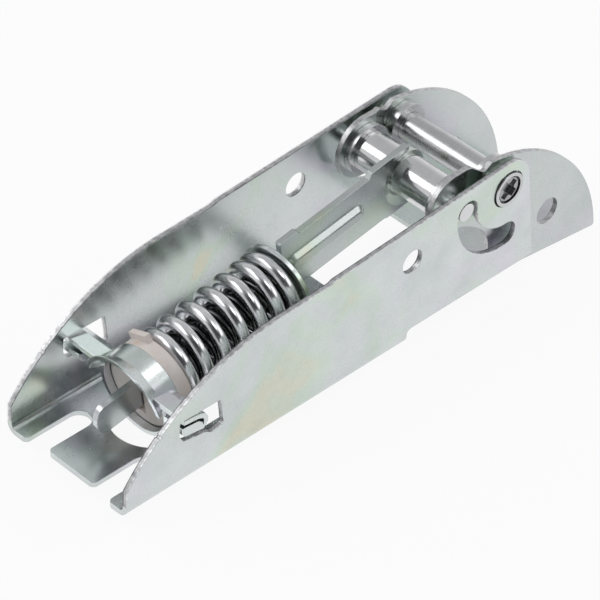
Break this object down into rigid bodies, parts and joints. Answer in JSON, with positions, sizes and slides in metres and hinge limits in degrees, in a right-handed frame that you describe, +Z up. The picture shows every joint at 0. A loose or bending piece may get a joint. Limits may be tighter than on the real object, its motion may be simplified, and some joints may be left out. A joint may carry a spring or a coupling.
{
  "type": "freezer door hinge",
  "caption": "Sprung lid hinge: a folded steel channel with a push rod and coil springs that bear on a pivoting lid bracket.",
  "frame": {"origin": "centre of the outline's box, level with the lid bracket's tip, which is the lowest point", "axes": "+X along the channel to the lid bracket, +Y across it, +Z up from the floor"},
  "size_m": [0.1754, 0.0446, 0.046],
  "materials": {
    "zinc_steel": "pale zinc plate",
    "polished_steel": "polished",
    "bright_steel": "turned",
    "spring_steel": "drawn wire",
    "natural_plastic": "natural moulded"
  },
  "bodies": {
    "channel": {"channel": "zinc_steel"},
    "lid_bracket": {"lid_bracket": "zinc_steel", "pivot_tube": "polished_steel", "pivot_bush_near": "bright_steel", "pivot_bush_far": "bright_steel", "pivot_screws": "bright_steel", "roller_pin": "polished_steel", "roller_sleeve_near": "polished_steel", "roller_sleeve_far": "polished_steel", "roller_washer_near": "bright_steel", "roller_washer_far": "bright_steel"},
    "push_rod": {"push_rod": "zinc_steel"},
    "seat": {"outer_spring": "spring_steel", "inner_spring": "spring_steel", "guide_bush": "natural_plastic", "seat_yoke": "zinc_steel"},
    "spring_washer": {"spring_washer": "zinc_steel"}
  },
  "joints": [
    {"name": "lid_hinge", "type": "hinge", "parent": "channel", "child": "lid_bracket", "pos_m": [0.04532, 0, 0.03608], "axis": [0, -1, 0], "range_deg": [0, 90]},
    {"name": "rod_pivot", "type": "hinge", "parent": "lid_bracket", "child": "push_rod", "pos_m": [0.03002, 0, 0.03608], "axis": [0, 1, 0], "range_deg": [0, 100.2]},
    {"name": "seat_pivot", "type": "hinge", "parent": "channel", "child": "seat", "pos_m": [-0.06918, 0, 0.01958], "axis": [0, 1, 0], "range_deg": [0, 10.2]},
    {"name": "washer_slide", "type": "slide", "parent": "seat", "child": "spring_washer", "axis": [0.9864, 0, 0.1641], "range_m": [0, 0.0043], "deforming": ["outer_spring", "inner_spring"]}
  ],
  "couplings": [
    {"joint": "rod_pivot", "follows": "lid_hinge", "ratio": 1.112},
    {"joint": "seat_pivot", "follows": "lid_hinge", "ratio": 0.112},
    {"joint": "washer_slide", "follows": "lid_hinge", "m_per_rad": 0.0026738}
  ]
}
